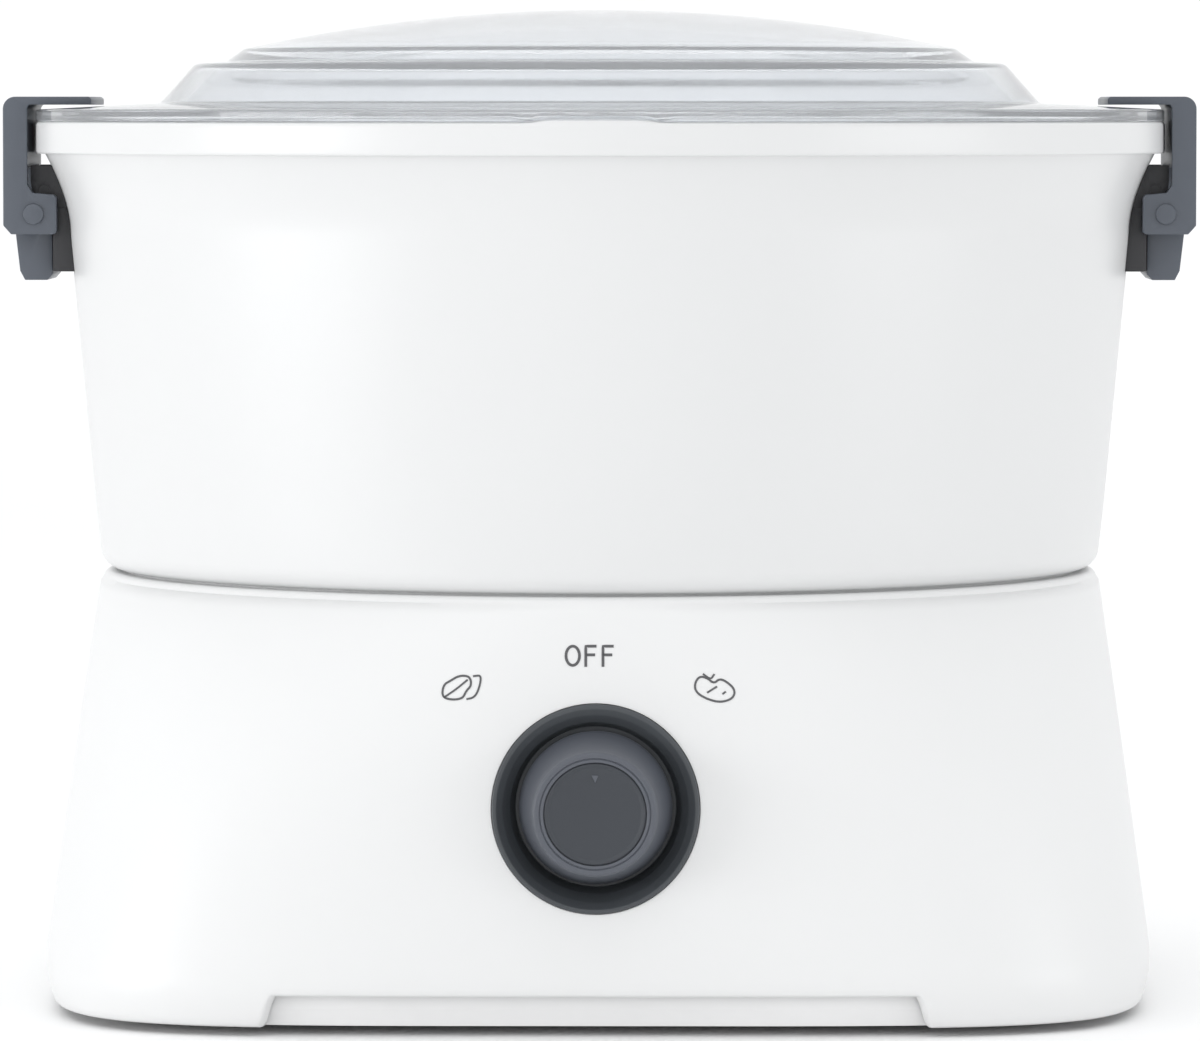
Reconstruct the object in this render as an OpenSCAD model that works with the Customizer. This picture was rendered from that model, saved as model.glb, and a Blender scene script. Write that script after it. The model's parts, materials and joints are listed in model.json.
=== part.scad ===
// Electric potato peeler with a salad-spinner setting: motor base, lift-off tub with a peeling
// disc, clear domed lid and two draw latches. Millimetres, +Z up, front towards -Y.
// The origin is on the floor, under the drive shaft.

/* [Base] */
// Radius of the round top edge of the motor base, where the tub stands
waist_r = 114; // [108:1:136]
// Height of the seam between base and tub
seam_z = 94.4; // [90:1:110]
// How far the sides flare outwards for each millimetre downwards
lean = 0.118; // [0.08:0.01:0.16]
// Squareness of the foot (2 is a circle)
foot_power = 5; // [3:0.5:6]
// Wall thickness of the mouldings
wall = 2.5; // [2:0.1:3]
// Height of the skirt's edge above the floor
skirt_z = 2; // [2:0.5:4]
// Half width of the cut-out in the front skirt
cutout_half = 72; // [50:1:80]
// Height of the cut-out in the front skirt
cutout_h = 7; // [4:0.5:9]

/* [Tub] */
// Height of the tub above the seam, to the top of its rim
tub_h = 102.1; // [85:0.1:124]
// Outward rise of the tub's wall for each millimetre upwards
tub_lean = 0.094; // [0.07:0.002:0.11]
// Width by which the rim stands out from the wall below its flare
rim_out = 7.9; // [7:0.1:10]
// Height of the rim band
rim_h = 7.2; // [5:0.1:9]

/* [Lid] */
// Rise of the dome above its shoulder
dome_rise = 8.6; // [6:0.1:12]
// Radius at which the dome meets the shoulder
dome_r = 80; // [70:1:86]
// Height of the shoulder above the tub's rim
shoulder_h = 16.9; // [13:0.1:20]
// Thickness of the clear lid
lid_wall = 2.4; // [2:0.1:3]

/* [Latches] */
// Width of each latch, along Y
latch_w = 40; // [34:1:46]
// Thickness of the hook's strap
strap_t = 5.5; // [4.5:0.1:6]
// How far the hook's top arm reaches over the lid
hook_reach = 14; // [10:0.5:15]

/* [Knob] */
// Height of the knob's axis
knob_z = 49.3; // [44:0.1:54]
// Radius of the bezel around the knob
bezel_r = 22.4; // [20:0.1:25]
// Radius of the knob at its foot
knob_r = 16.5; // [14:0.1:18]
// How far the knob's front face stands out from the housing's
knob_out = 13.28; // [12:0.1:14.5]

/* [Drive] */
// Radius of the drive shaft
shaft_r = 5; // [4:0.5:5.5]
// Gear module
gear_m = 1; // [0.95:0.05:1.05]
// Radial clearance of every running fit
fit = 0.05; // [0.03:0.01:0.08]
// Radius of the motor can
motor_r = 23; // [18:0.5:25]
// Length of the motor can
motor_len = 46; // [35:1:50]
// Radius of the cord's bore through its gland
cord_r = 3.75; // [3:0.25:4.5]

/* [Hidden] */
$fn = 96;

sides = 72;              // facets around the lofted base
deck_t = 2.5;
deck_z = seam_z - 6.4;   // underside of the deck that closes the base's top
deck_top = deck_z + deck_t;
ledge_r = waist_r - 8;   // inside of the ledge that the tub stands on
tuck_h = 12.5;           // height over which the foot draws in
tuck = 3.4;

big_teeth = 56;          // a multiple of 28, so that the gears mesh along Y
small_teeth = 14;
plate_t = 3;
plate_z = seam_z - 30.4; // underside of the gear plate
axle_gap = gear_m * (big_teeth + small_teeth) / 2;
big_gear_r = gear_m * big_teeth / 2;
gear_t = 6;
output_gear_z = plate_z + plate_t + 2;
idler_gear_z = output_gear_z + gear_t + 2;
spigot_z = idler_gear_z + gear_t + 1;   // underside of the spigot that holds the upper bush
bush_out = shaft_r + 2.5;
idler_y = axle_gap;
motor_y = 2 * axle_gap;
post_r = 4.5;
screw_r = 1.5;
idler_r = 3;             // axle of the idler gear
rotor_r = 2;             // motor shaft

rim_z = seam_z + tub_h;              // top of the tub's rim
flare_z = rim_z - rim_h - 18;        // where the wall starts to flare into the rim
tub_foot_r = waist_r - 0.9;
tub_floor_z = seam_z + 3;
tub_floor_t = wall;
function tub_r(z) = waist_r + tub_lean * (z - seam_z) * (z < flare_z ? 1 : 0)
    + (z < flare_z ? 0 : tub_lean * (flare_z - seam_z) + flare_out(z));
function flare_out(z) = 5.6 * pow((z - flare_z) / (rim_z - rim_h - flare_z), 1.7);
rim_r = waist_r + tub_lean * (flare_z - seam_z) + rim_out;

chimney_r = 9;                       // bore of the tube around the shaft
chimney_t = wall;
chimney_top = seam_z + 23.6;
disc_z = seam_z + 8.6;
disc_r = tub_r(disc_z) - wall - 5.5;
disc_t = 3;
hub_r = 16;
hub_top = chimney_top + 10;
shaft_top = hub_top - 1;
hex_r = shaft_r - 0.1;               // the shaft's hexagonal end, across its corners
socket_z = chimney_top + 1.5;
hex_z = socket_z - 2;

shoulder_z = rim_z + shoulder_h;
flange_z = rim_z + 2.8;              // top of the lid's flange at its edge
dome_rad = (dome_r * dome_r + dome_rise * dome_rise) / (2 * dome_rise);

strap_in = rim_r + 0.6;              // inner face of the hook's strap
strap_out = strap_in + strap_t;
arm_z = rim_z + 3.9;                 // underside of the hook's top arm
arm_t = 1.8;
hook_pin_x = strap_in - 1.4;
hook_pin_z = rim_z - 20.9;
lever_pin_x = hook_pin_x - 2.1;
lever_pin_z = hook_pin_z + 5.4;
hook_pin_r = 1.5;
lever_pin_r = 1.25;
lever_half = latch_w / 2 - 7.6;      // half width of the lever
cheek_half = lever_half + 3.4;       // outside of the bracket's cheeks
ear_half = cheek_half + 0.6;         // inside of the hook's ears
notch_z = hook_pin_z + 10.4;         // top of the strap's notch between its ears
bracket_z = rim_z - 34;
bracket_h = 24.1;

face_y = -(waist_r + lean * (seam_z - knob_z));   // front face at the knob's height
face_lean = atan(lean);
dish_y = face_y + 4.6;               // floor of the bezel's dish
dish_t = 2.4;
mark_t = 0.25;
mark_w = 0.55;
marks_x = -1.6;          // the print sits a little to the left of the knob's axis
gland_x = 62;
gland_z = 30;
gland_y = waist_r + 5.2;
knob_front = knob_out - face_y;      // from the shaft's axis to the knob's front face
boss_y = gland_y + 2.8;              // flat face that the gland's flange seats on
gland_body_r = cord_r + 2.6;
gland_flange_r = gland_body_r + 2.6;
dish_rim = bezel_r - 1;
dish_slope = (dish_rim - knob_r - 1.1) / (dish_y - face_y + 1);
knob_back = dish_y - 0.6;
cap_r = 10.9;                        // disc set into the knob's face
bush_r = 4.5;                        // threaded bush of the rotary switch
spindle_r = 3;
cover_top = skirt_z + 2 + wall;      // inner face of the bottom cover
cover_screw = 72;                    // the cover's screws, along X and along Y
foot_at = 88;                        // the rubber feet, along X and along Y
plate_posts = [[30, -30], [-30, -30], [38, 46], [-38, 46], [30, 98], [-30, 98]];

// ---- shapes that are used more than once ----

function half_at(z) = waist_r + lean * (seam_z - z)
    - (z < skirt_z + tuck_h ? tuck * pow((skirt_z + tuck_h - z) / tuck_h, 2) : 0);
function power_at(z) = 2 + (foot_power - 2) * pow((seam_z - min(z, seam_z)) / (seam_z - skirt_z), 0.8);
function edge_r(a, half, p) = half / pow(pow(abs(cos(a)), p) + pow(abs(sin(a)), p), 1 / p);
function loft_ring(z, inset) = [
    for (i = [0 : sides - 1])
        let (a = 360 * i / sides, r = edge_r(a, half_at(z) - inset, power_at(z)))
        [r * cos(a), r * sin(a), z]
];

// A solid through rings given as [height, inset from the base's outer surface]
module loft(levels) {
    n = len(levels);
    points = [for (l = levels) each loft_ring(l[0], l[1])];
    walls = [
        for (k = [0 : n - 2], i = [0 : sides - 1], t = [0, 1])
            let (j = (i + 1) % sides, a = k * sides, b = a + sides)
            t == 0 ? [a + i, b + i, b + j] : [a + i, b + j, a + j]
    ];
    floor_face = [[for (i = [0 : sides - 1]) i]];
    top_face = [[for (i = [sides - 1 : -1 : 0]) (n - 1) * sides + i]];
    polyhedron(concat(points), concat(walls, floor_face, top_face));
}

module tube(r_out, r_in, h) {
    difference() {
        cylinder(r = r_out, h = h);
        translate([0, 0, -1]) cylinder(r = r_in, h = h + 2);
    }
}

// A cylinder along +Y that starts at y
module rod_y(r, y, h) { translate([0, y, 0]) rotate([-90, 0, 0]) cylinder(r = r, h = h); }

// A pan-head screw whose head's underside is at z = 0, pointing down
module screw(length) {
    union() {
        translate([0, 0, -length]) cylinder(r = screw_r - 0.1, h = length + 1, $fn = 32);
        difference() {
            cylinder(r = 2.8, h = 2, $fn = 32);
            for (a = [0, 90]) rotate(a) translate([-1.8, -0.35, 1.1]) cube([3.6, 0.7, 2]);
        }
    }
}

module screw_up(length) { mirror([0, 0, 1]) screw(length); }

module at_corners(x, y) {
    for (sx = [-1, 1], sy = [-1, 1]) translate([sx * x, sy * y, 0]) children();
}

function inv(a) = tan(a) - a * PI / 180;
function tooth_half(r, rp, rb, s) =
    let (a = acos(min(1, rb / max(r, rb)))) (s / (2 * rp) + inv(20) - inv(a)) * 180 / PI;

// An involute gear outline with a tooth centred on +X
module gear_outline(teeth, tip_add) {
    rp = gear_m * teeth / 2;
    rb = rp * cos(20);
    root = rp - 1.25 * gear_m;
    tip = rp + tip_add * gear_m;
    s = (PI / 2 - 0.12) * gear_m;
    start = max(rb, root + 0.05);
    radii = [root, for (k = [0 : 3]) start + (tip - start) * k / 3];
    halves = [for (r = radii) tooth_half(max(r, start), rp, rb, s)];
    polygon([
        for (i = [0 : teeth - 1], k = [0 : 9])
            let (q = k < 5 ? k : 9 - k, a = 360 * i / teeth + (k < 5 ? -halves[q] : halves[q]))
            radii[q] * [cos(a), sin(a)]
    ]);
}

// ---- base ----

module base_housing() color("whitesmoke") difference() {
    union() {
        difference() {
            loft([[skirt_z, 0], [skirt_z + 3, 0], [skirt_z + 7, 0], [skirt_z + tuck_h, 0], [30, 0],
                [46, 0], [62, 0], [78, 0], [seam_z - 2, 0], [seam_z - 0.8, 0.5], [seam_z, 1.9]]);
            loft([[skirt_z - 1, wall], [skirt_z + 4, wall], [skirt_z + 8, wall],
                [skirt_z + tuck_h, wall], [34, wall], [52, wall], [70, wall], [deck_z, wall]]);
            translate([0, 0, deck_top]) cylinder(r = ledge_r, h = 20);
        }
        // spigot in the middle of the deck, with the bush's housing under it
        translate([0, 0, spigot_z]) cylinder(r = chimney_r - 0.6, h = deck_top + 8 - spigot_z);
        // posts for the gear plate
        for (p = plate_posts) translate([p[0], p[1], plate_z + plate_t])
            cylinder(r = post_r, h = deck_z - plate_z - plate_t + 1, $fn = 48);
        // posts for the bottom cover's screws
        at_corners(cover_screw, cover_screw) translate([0, 0, cover_top])
            cylinder(r = post_r, h = deck_z - cover_top + 1, $fn = 48);
        // flat-faced boss for the cord gland
        translate([gland_x, 0, gland_z]) rod_y(gland_flange_r + 0.8, gland_y - 4, boss_y + 4 - gland_y);
        // lugs that stop the tub from turning
        for (a = [90, 210, 330]) rotate(a) translate([ledge_r + 1, -4, seam_z - 1])
            cube([4, 8, 1 + 2.4]);
    }
    translate([0, 0, spigot_z - 1]) cylinder(r = bush_out, h = deck_top + 20 - spigot_z);
    for (p = plate_posts) translate([p[0], p[1], plate_z]) cylinder(r = screw_r - 0.1, h = 16, $fn = 32);
    at_corners(cover_screw, cover_screw) cylinder(r = screw_r - 0.1, h = cover_top + 14, $fn = 32);
    translate([0, idler_y, deck_z - 1]) cylinder(r = idler_r, h = 2.5, $fn = 48);
    translate([0, 0, knob_z]) rod_y(bezel_r + 0.2, face_y - 12, 24);
    translate([gland_x, 0, gland_z]) rod_y(gland_body_r + 0.2, gland_y - 20, 30);
    translate([0, -90, 0]) rotate([90, 0, 0]) linear_extrude(60) skirt_cutout();
}

// Outline of the front cut-out: slanted ends with rounded upper corners
module skirt_cutout() {
    r = 4;
    top = skirt_z + cutout_h;
    polygon(concat(
        [[-cutout_half - 2, -1], [cutout_half + 2, -1]],
        [for (a = [10 : 20 : 90]) [cutout_half - r + r * cos(a), top - r + r * sin(a)]],
        [for (a = [90 : 20 : 170]) [-cutout_half + r + r * cos(a), top - r + r * sin(a)]]));
}

module bottom_cover() color("gainsboro") difference() {
    loft([[skirt_z + 0.3, wall + 1], [skirt_z + 4, wall + 1], [skirt_z + 8, wall + 1]]);
    loft([[cover_top - 0.2, wall + 3], [skirt_z + 12, wall + 3]]);
    at_corners(cover_screw, cover_screw) cylinder(r = screw_r + 0.3, h = 12, $fn = 32);
    at_corners(cover_screw, cover_screw) translate([0, 0, -1]) cylinder(r = 3.2, h = skirt_z + 3, $fn = 48);
    at_corners(foot_at, foot_at) cylinder(r = 3.6, h = 12, $fn = 48);
    // slots that let the motor breathe
    for (x = [-24 : 8 : 24]) translate([x - 1.5, 52, 0]) cube([3, 36, 12]);
}

module cover_screws() color("silver") at_corners(cover_screw, cover_screw) translate([0, 0, skirt_z + 2])
    screw_up(10);

module rubber_feet() color("dimgray") at_corners(foot_at, foot_at) union() {
    tube(9, 4, skirt_z + 0.3);
    cylinder(r = 3.4, h = cover_top + 1.4, $fn = 48);
    translate([0, 0, 0.5]) cylinder(r = 6, h = skirt_z - 0.2, $fn = 48);
}

// One stroke of the dial's print, from a to b in the plane of the front face
module stroke(a, b) {
    d = b - a;
    translate([a[0], a[1], 0]) rotate(atan2(d[1], d[0]))
        translate([-mark_w / 2, -mark_w / 2, 0]) cube([norm(d) + mark_w, mark_w, mark_t]);
}

module strokes(points, closed = false) {
    for (i = [0 : len(points) - (closed ? 1 : 2)]) stroke(points[i], points[(i + 1) % len(points)]);
}

function oval(cx, cy, rx, ry, tilt, n) = [
    for (i = [0 : n - 1]) let (a = 360 * i / n, x = rx * cos(a), y = ry * sin(a))
        [cx + x * cos(tilt) - y * sin(tilt), cy + x * sin(tilt) + y * cos(tilt)]
];

module dial_marks() color("gray")
    translate([marks_x, face_y, knob_z]) rotate([90 - face_lean, 0, 0]) translate([0, 0, 0.02]) union() {
    off_y = bezel_r + 10.3;
    // the word OFF
    strokes(oval(-3.4, off_y, 1.5, 2.1, 0, 12), true);
    for (x = [-0.6, 3.1]) {
        stroke([x, off_y - 2.1], [x, off_y + 2.1]);
        stroke([x, off_y + 2.1], [x + 2.1, off_y + 2.1]);
        stroke([x, off_y + 0.2], [x + 1.7, off_y + 0.2]);
    }
    // a potato on the right
    strokes(oval(28, bezel_r + 3.3, 4.4, 2.7, -12, 14), true);
    stroke([26.4, bezel_r + 4.4], [27.4, bezel_r + 3.9]);
    stroke([29.2, bezel_r + 2.6], [30.2, bezel_r + 2.2]);
    // a leaf on the left
    strokes([[-32.4, bezel_r + 1.2], [-31.4, bezel_r + 4], [-28.6, bezel_r + 5.6],
        [-24.2, bezel_r + 5.8], [-24.8, bezel_r + 2.6], [-27.4, bezel_r + 0.8],
        [-30.2, bezel_r + 0.6]], true);
    stroke([-33.2, bezel_r + 0.4], [-26.4, bezel_r + 4.2]);
}

// ---- knob and switch ----

module knob_bezel() color("dimgray") translate([0, 0, knob_z]) difference() {
    rod_y(bezel_r, face_y - 8, dish_y + dish_t + 8 - face_y);
    // the rim's front leans with the housing and stands 0.9 proud of it
    translate([0, face_y - 0.9, 0]) rotate([-face_lean, 0, 0]) translate([-40, -40, -40]) cube([80, 40, 80]);
    // a dish that falls from the rim to the knob's foot
    translate([0, face_y - 8, 0]) rotate([-90, 0, 0])
        cylinder(r1 = dish_rim + 7 * dish_slope, r2 = knob_r + 1.1, h = dish_y - face_y + 8);
    rod_y(bush_r + 0.2, dish_y - 5, 20);
}

module knob() color("slategray") translate([0, 0, knob_z]) difference() {
    translate([0, -knob_front, 0]) rotate([-90, 0, 0]) rotate_extrude() polygon(knob_profile());
    rod_y(cap_r + 0.15, -knob_front - 1, 1 + 1.6);
    rod_y(7.5, knob_back - 6.5, 20);
    rod_y(spindle_r + 0.02, -knob_front + 3, 40);
}

// Radius against depth behind the front face
function knob_profile() = let (d = knob_front + knob_back) [
    [0, 0], [knob_r - 4.4, 0], [knob_r - 3.6, 0.25], [knob_r - 3.1, 0.9], [knob_r - 2.8, 1.8],
    [knob_r - 0.3, d - 2], [knob_r, d - 1.2], [knob_r, d], [0, d]
];

module knob_cap() color("dimgray") translate([0, 0, knob_z]) difference() {
    rod_y(cap_r, -knob_front + 0.3, 1.25);
    // the pointer is a small sunk mark near the edge
    translate([0, -knob_front - 0.7, cap_r - 3.6]) rotate([-90, 0, 0])
        cylinder(r = 0.9, h = 1.4, $fn = 3);
}

module switch_spindle() color("silver") translate([0, 0, knob_z])
    rod_y(spindle_r, -knob_front + 3.2, 10 + knob_front + dish_y, $fn = 48);

module rotary_switch() color("ivory") translate([0, 0, knob_z]) difference() {
    union() {
        translate([-15, dish_y + dish_t, -15]) cube([30, 20, 30]);
        rod_y(bush_r, knob_back - 4.5, dish_y - knob_back + 8);
        for (x = [-9, 0, 9], z = [-8, 8]) translate([x - 2.4, dish_y + dish_t + 19, z - 0.4])
            cube([4.8, 7, 0.8]);
    }
    rod_y(spindle_r + fit, dish_y - 30, 30 + 15, $fn = 48);
}

module switch_nut() color("silver") translate([0, 0, knob_z]) difference() {
    rod_y(7, dish_y - 2.4, 2.4, $fn = 6);
    rod_y(bush_r + 0.05, dish_y - 6, 12);
}

// ---- electrics ----

module rectifier_board() color("darkgreen") translate([-82, 10, 14]) difference() {
    cube([48, 36, 1.6]);
    for (x = [4, 44], y = [4, 32]) translate([x, y, -1]) cylinder(r = 1.6, h = 4, $fn = 32);
}

module board_components() color("black") translate([-82, 10, 15.6]) union() {
    for (x = [12, 25]) translate([x, 12, 0]) cylinder(r = 5, h = 18, $fn = 48);
    translate([8, 22, 0]) cube([18, 8, 12]);
    translate([34, 12, 0]) cube([8, 12, 15]);
}

module cord_gland() color("dimgray") translate([gland_x, 0, gland_z]) difference() {
    union() {
        rod_y(gland_body_r, gland_y - 10, 14);
        rod_y(gland_flange_r, boss_y, 2.6);
        rod_y(gland_body_r + 2, gland_y - 8.6, 3.4);
    }
    rod_y(cord_r, gland_y - 20, 40);
}

module cord_clamp() color("ivory") translate([gland_x, gland_y - 32, cover_top]) difference() {
    translate([-16, -6, 0]) cube([32, 12, gland_z - cover_top + 7]);
    translate([0, 0, gland_z - cover_top]) rod_y(cord_r + 0.2, -10, 20);
    translate([-20, -8, gland_z - cover_top - 0.4]) cube([40, 16, 0.8]);
    for (x = [-11, 11]) translate([x, 0, 6]) cylinder(r = screw_r - 0.1, h = 40, $fn = 32);
}

module clamp_screws() color("silver") for (x = [-11, 11])
    translate([gland_x + x, gland_y - 32, gland_z + 7]) screw(14);

// ---- gear train and motor ----

module gear_plate() color("silver") difference() {
    translate([0, 0, plate_z]) linear_extrude(plate_t) hull() {
        for (p = plate_posts) translate(p) circle(r = post_r + 2, $fn = 32);
    }
    for (p = plate_posts) translate([p[0], p[1], plate_z - 1]) cylinder(r = screw_r + 0.2, h = 9, $fn = 32);
    translate([0, 0, plate_z - 1]) cylinder(r = shaft_r + 3, h = 9);
    translate([0, idler_y, plate_z - 1]) cylinder(r = idler_r, h = 9, $fn = 48);
    translate([0, motor_y, plate_z - 1]) cylinder(r = 6.5, h = 9);
    for (x = [-14, 14]) translate([x, motor_y, plate_z - 1]) cylinder(r = screw_r + 0.2, h = 9, $fn = 32);
}

module gear_plate_screws() color("dimgray") for (p = plate_posts)
    translate([p[0], p[1], plate_z]) screw_up(12);

module upper_bush() color("goldenrod") translate([0, 0, spigot_z])
    tube(bush_out, shaft_r + fit, deck_top + 7 - spigot_z);

module lower_bush() color("goldenrod") translate([0, 0, plate_z - 4]) difference() {
    union() {
        cylinder(r = shaft_r + 3, h = plate_t + 4);
        cylinder(r = shaft_r + 6, h = 4);
    }
    translate([0, 0, -1]) cylinder(r = shaft_r + fit, h = 20);
}

module drive_shaft() color("silver") union() {
    translate([0, 0, plate_z - 6]) cylinder(r = shaft_r, h = hex_z - plate_z + 6);
    translate([0, 0, hex_z]) cylinder(r = hex_r, h = shaft_top - hex_z, $fn = 6);
    translate([0, 0, plate_z - 8]) cylinder(r = shaft_r + 2, h = 2.5);
}

module output_gear() color("white") translate([0, 0, output_gear_z]) difference() {
    union() {
        linear_extrude(gear_t) gear_outline(big_teeth, 0.85);
        cylinder(r = shaft_r + 4, h = gear_t + 1);
    }
    translate([0, 0, -1]) cylinder(r = shaft_r + 0.02, h = 20);
    gear_pockets();
}

// Pockets and holes that lighten a large gear's web
module gear_pockets() {
    translate([0, 0, 4.2]) tube(big_gear_r - 5, shaft_r + 4, 4);
    for (a = [0 : 60 : 300]) rotate(a) translate([(big_gear_r + shaft_r) / 2 + 0.5, 0, -1])
        cylinder(r = 3.5, h = 10, $fn = 32);
}

module idler_axle() color("silver") translate([0, idler_y, plate_z])
    cylinder(r = idler_r - 0.02, h = deck_z - plate_z + 1, $fn = 48);

module idler_gear() color("white") translate([0, idler_y, 0]) difference() {
    union() {
        translate([0, 0, idler_gear_z]) linear_extrude(gear_t) gear_outline(big_teeth, 0.85);
        translate([0, 0, output_gear_z - 0.5]) linear_extrude(gear_t + 3) gear_outline(small_teeth, 1);
    }
    translate([0, 0, output_gear_z - 2]) cylinder(r = idler_r + fit, h = 40, $fn = 48);
    translate([0, 0, idler_gear_z]) gear_pockets();
}

module motor_can() color("silver") translate([0, motor_y, plate_z - motor_len]) difference() {
    cylinder(r = motor_r, h = motor_len);
    translate([0, 0, -1]) cylinder(r = motor_r - 1.6, h = motor_len - 1);
    cylinder(r = 4, h = 60);
    for (x = [-14, 14]) translate([x, 0, 0]) cylinder(r = screw_r - 0.1, h = 60, $fn = 32);
}

module motor_end_cap() color("dimgray") translate([0, motor_y, plate_z - motor_len]) difference() {
    union() {
        translate([0, 0, -3]) cylinder(r = motor_r - 0.4, h = 3);
        cylinder(r = motor_r - 1.8, h = 3);
        translate([0, 0, -5]) cylinder(r = 7, h = 5);
    }
    translate([0, 0, -6]) cylinder(r = 4, h = 20);
    for (a = [45 : 90 : 315]) rotate(a) translate([14, 0, -6]) cylinder(r = 3, h = 20, $fn = 32);
}

module motor_bushes() color("goldenrod") translate([0, motor_y, 0]) {
    translate([0, 0, plate_z - motor_len - 5]) tube(4, rotor_r + fit, 8);
    translate([0, 0, plate_z - 3]) tube(4, rotor_r + fit, 7);
}

module motor_brushes() color("black") for (s = [-1, 1])
    translate([s * 11.5 - 4, motor_y - 3, plate_z - motor_len + 5]) cube([8, 6, 5]);

module motor_screws() color("silver") for (x = [-14, 14])
    translate([x, motor_y, plate_z + plate_t]) screw(6);

module motor_rotor() color("chocolate") translate([0, motor_y, 0]) union() {
    translate([0, 0, plate_z - motor_len - 6]) cylinder(r = rotor_r, h = motor_len + 28, $fn = 48);
    translate([0, 0, plate_z - motor_len + 4]) cylinder(r = 7, h = 9);
    translate([0, 0, plate_z - motor_len + 14]) difference() {
        cylinder(r = motor_r - 5, h = motor_len - 20);
        for (a = [0 : 30 : 330]) rotate(a) translate([motor_r - 8, -0.9, -1])
            cube([8, 1.8, motor_len]);
    }
}

module motor_pinion() color("goldenrod") translate([0, motor_y, idler_gear_z - 1]) difference() {
    linear_extrude(gear_t + 2) gear_outline(small_teeth, 1);
    translate([0, 0, -1]) cylinder(r = rotor_r + 0.02, h = 20, $fn = 48);
}

// ---- tub and disc ----

// Outer profile of the tub from its foot ring to under the rim band
function tub_outer() = concat(
    [[tub_foot_r - 2.2, seam_z]],
    [for (a = [-80 : 20 : 0]) [tub_foot_r - 3.4 + 4.6 * cos(a), seam_z + 5 + 4.6 * sin(a)]],
    [for (z = [seam_z + 14, flare_z]) [tub_r(z), z]],
    [for (k = [1 : 6]) let (z = flare_z + (rim_z - rim_h - flare_z) * k / 6) [tub_r(z), z]]
);

// Everything inside the tub's outer surface, grown by a margin; fine facets, as brackets fit on it
module tub_skin(out) {
    rotate_extrude($fn = 360) polygon(concat([[0, seam_z]], [for (p = tub_outer()) p + [out, 0]],
        [[0, rim_z - rim_h]]));
}

module tub() color("white") difference() {
    union() {
        rotate_extrude() polygon(concat(
            tub_outer(),
            [[rim_r - 0.6, rim_z - rim_h], [rim_r, rim_z - rim_h + 0.6], [rim_r, rim_z - 0.8],
                [rim_r - 0.8, rim_z], [tub_r(rim_z - rim_h) - 4.4, rim_z]],
            [for (k = [6 : -1 : 0]) let (z = flare_z + (rim_z - rim_h - flare_z) * k / 6)
                [tub_r(z) - wall, z]],
            [[tub_r(seam_z + 14) - wall, seam_z + 14], [tub_foot_r - 1.6, tub_floor_z + tub_floor_t + 2.5],
                [tub_foot_r - 4, tub_floor_z + tub_floor_t],
                [chimney_r + chimney_t, tub_floor_z + tub_floor_t],
                [chimney_r + chimney_t, chimney_top - 1], [chimney_r + chimney_t - 1, chimney_top],
                [chimney_r, chimney_top], [chimney_r, tub_floor_z], [tub_foot_r - 5, tub_floor_z],
                [tub_foot_r - 5, seam_z]]));
        // the pad on the rim that fills the notch under the lid's flange
        translate([0, 0, rim_z - 1]) intersection() {
            tube(rim_r - 0.3, rim_r - 6, 1.8);
            translate([-12, -rim_r - 2, 0]) cube([24, 10, 4]);
        }
        // ribs under the floor, one each side of every lug
        for (a = [90, 210, 330], s = [-1, 1]) rotate(a)
            translate([ledge_r - 4, s * 5.6 - 1, seam_z + 0.4]) cube([4, 2, 3.6]);
    }
    // pockets for the lugs
    for (a = [90, 210, 330]) rotate(a) translate([ledge_r + 0.6, -4.4, seam_z - 1]) cube([4.8, 8.8, 3.8]);
}

module shaft_seal() color("dimgray") translate([0, 0, chimney_top - 5]) difference() {
    cylinder(r = chimney_r, h = 4);
    translate([0, 0, -1]) cylinder(r = shaft_r + 0.1, h = 6);
    translate([0, 0, -1]) tube(chimney_r - 1.4, shaft_r + 1.2, 3);
}

// Slotted peeling plates on the tub's wall
module wall_blades() color("silver") for (a = [30, 150, 270]) rotate(a) difference() {
    intersection() {
        translate([0, 0, disc_z + 8]) difference() {
            cylinder(r = tub_r(disc_z + 8) - wall, h = 46);
            translate([0, 0, -1]) cylinder(r = tub_r(disc_z + 8) - wall - 1.6, h = 60);
        }
        translate([80, -14, disc_z + 8]) cube([60, 28, 46]);
    }
    for (z = [disc_z + 15 : 8 : disc_z + 47], y = [-7, 0, 7]) translate([80, y - 2.4, z])
        cube([60, 4.8, 2]);
}

// A wavy disc: three broad swells run out from the hub
module peeling_disc() color("white") difference() {
    union() {
        translate([0, 0, disc_z]) cylinder(r = disc_r, h = disc_t);
        translate([0, 0, disc_z]) cylinder(r1 = hub_r + 5, r2 = hub_r, h = 8);
        translate([0, 0, disc_z]) cylinder(r1 = hub_r, r2 = hub_r - 2.5, h = hub_top - disc_z);
        for (a = [60, 180, 300]) rotate(a) intersection() {
            translate([0, 0, disc_z + 1]) cylinder(r = disc_r - 4, h = 20);
            translate([hub_r - 4, 0, disc_z + disc_t - 16]) rotate([0, 90, 0])
                cylinder(r = 22, h = disc_r);
        }
    }
    translate([0, 0, disc_z - 1]) cylinder(r = chimney_r + chimney_t + 0.8, h = socket_z - disc_z);
    translate([0, 0, disc_z - 30]) cylinder(r = disc_r + 5, h = 30);
    translate([0, 0, socket_z - 2]) cylinder(r = hex_r + 0.35, h = hub_top, $fn = 6);
    for (a = [0, 120, 240], x = [46, 86]) rotate(a) translate([x, 0, disc_z - 1])
        cylinder(r = screw_r + 0.2, h = 9, $fn = 32);
}

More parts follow.
